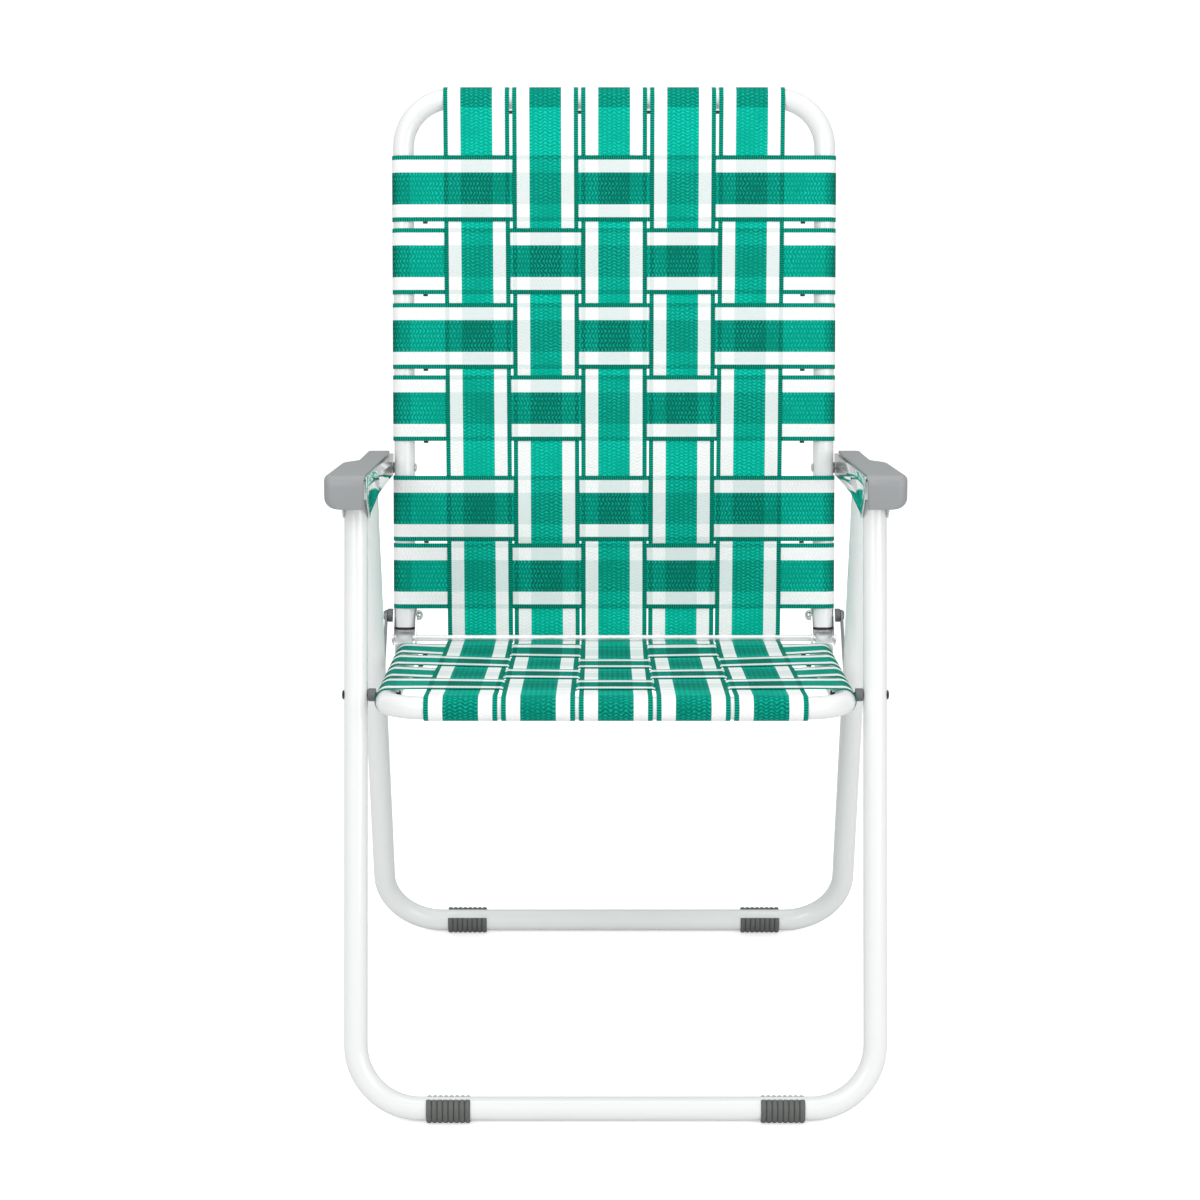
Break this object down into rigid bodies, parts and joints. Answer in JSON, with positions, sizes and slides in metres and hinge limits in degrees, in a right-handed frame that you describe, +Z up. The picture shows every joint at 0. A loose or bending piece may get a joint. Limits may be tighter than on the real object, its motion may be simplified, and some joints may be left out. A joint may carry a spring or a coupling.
{
  "type": "folding lawn chair",
  "caption": "High-backed folding lawn chair with woven webbing on a tube frame, flat armrests and U-shaped legs that fold against the back.",
  "frame": {"origin": "centre of the floor area between the feet, on the floor", "axes": "+Z up, +X across the chair, -Y to the front"},
  "size_m": [0.556, 0.6332, 0.907],
  "materials": {
    "white_frame": "glossy white powder coat",
    "plated_steel": "bright plated sheet",
    "fastener_steel": "zinc plated",
    "armrest_moulding": "fine satin texture",
    "foot_moulding": "matte",
    "spacer_moulding": "matte",
    "webbing": "woven plastic tape, green and white stripes, slightly translucent"
  },
  "bodies": {
    "seat": {"seat_frame": "white_frame", "hinge_rod": "fastener_steel", "left_seat_lug": "plated_steel", "left_seat_spacer": "spacer_moulding", "left_seat_rivet": "fastener_steel", "right_seat_lug": "plated_steel", "right_seat_spacer": "spacer_moulding", "right_seat_rivet": "fastener_steel", "seat_row_1": "webbing", "seat_row_2": "webbing", "seat_row_3": "webbing", "seat_row_4": "webbing", "seat_strap_1": "webbing", "seat_strap_2": "webbing", "seat_strap_3": "webbing", "seat_strap_4": "webbing", "seat_strap_5": "webbing"},
    "back": {"back_frame": "white_frame", "left_hinge_bracket": "plated_steel", "left_bracket_bolt": "fastener_steel", "left_link_spacer": "spacer_moulding", "left_arm_bush": "spacer_moulding", "left_arm_back_rivet": "fastener_steel", "right_hinge_bracket": "plated_steel", "right_bracket_bolt": "fastener_steel", "right_link_spacer": "spacer_moulding", "right_arm_bush": "spacer_moulding", "right_arm_back_rivet": "fastener_steel", "back_row_1": "webbing", "back_row_2": "webbing", "back_row_3": "webbing", "back_row_4": "webbing", "back_row_5": "webbing", "back_row_6": "webbing", "back_strap_1": "webbing", "back_strap_2": "webbing", "back_strap_3": "webbing", "back_strap_4": "webbing", "back_strap_5": "webbing"},
    "front_legs": {"front_leg_frame": "white_frame", "front_left_foot": "foot_moulding", "front_right_foot": "foot_moulding"},
    "arms": {"left_arm_channel": "plated_steel", "left_armrest": "armrest_moulding", "left_arm_front_rivet": "fastener_steel", "left_arm_rear_rivet": "fastener_steel", "right_arm_channel": "plated_steel", "right_armrest": "armrest_moulding", "right_arm_front_rivet": "fastener_steel", "right_arm_rear_rivet": "fastener_steel"},
    "rear_legs": {"rear_leg_frame": "white_frame", "rear_left_foot": "foot_moulding", "rear_right_foot": "foot_moulding", "left_link_rivet": "fastener_steel", "right_link_rivet": "fastener_steel"},
    "rear_links": {"left_rear_link": "fastener_steel", "right_rear_link": "fastener_steel"}
  },
  "joints": [
    {"name": "fold", "type": "hinge", "parent": "seat", "child": "back", "pos_m": [0, 0.1525, 0.33998], "axis": [1, 0, 0], "range_deg": [0, 93]},
    {"name": "front_leg_pivot", "type": "hinge", "parent": "seat", "child": "front_legs", "pos_m": [0, -0.17817, 0.39235], "axis": [1, 0, 0], "range_deg": [0, 93]},
    {"name": "arm_pivot", "type": "hinge", "parent": "back", "child": "arms", "pos_m": [0, 0.20966, 0.51382], "axis": [1, 0, 0], "range_deg": [-93, 0]},
    {"name": "rear_leg_pivot", "type": "hinge", "parent": "arms", "child": "rear_legs", "pos_m": [0, 0.005, 0.55636], "axis": [1, 0, 0], "range_deg": [0, 60.02]},
    {"name": "link_pivot", "type": "hinge", "parent": "rear_legs", "child": "rear_links", "pos_m": [0, 0.09083, 0.30167], "axis": [1, 0, 0], "range_deg": [-107.32, 0]}
  ],
  "couplings": [
    {"joint": "front_leg_pivot", "follows": "fold", "ratio": 1},
    {"joint": "arm_pivot", "follows": "fold", "ratio": -1},
    {"joint": "rear_leg_pivot", "follows": "fold", "ratio": 0.64533},
    {"joint": "link_pivot", "follows": "fold", "ratio": -1.1539}
  ]
}
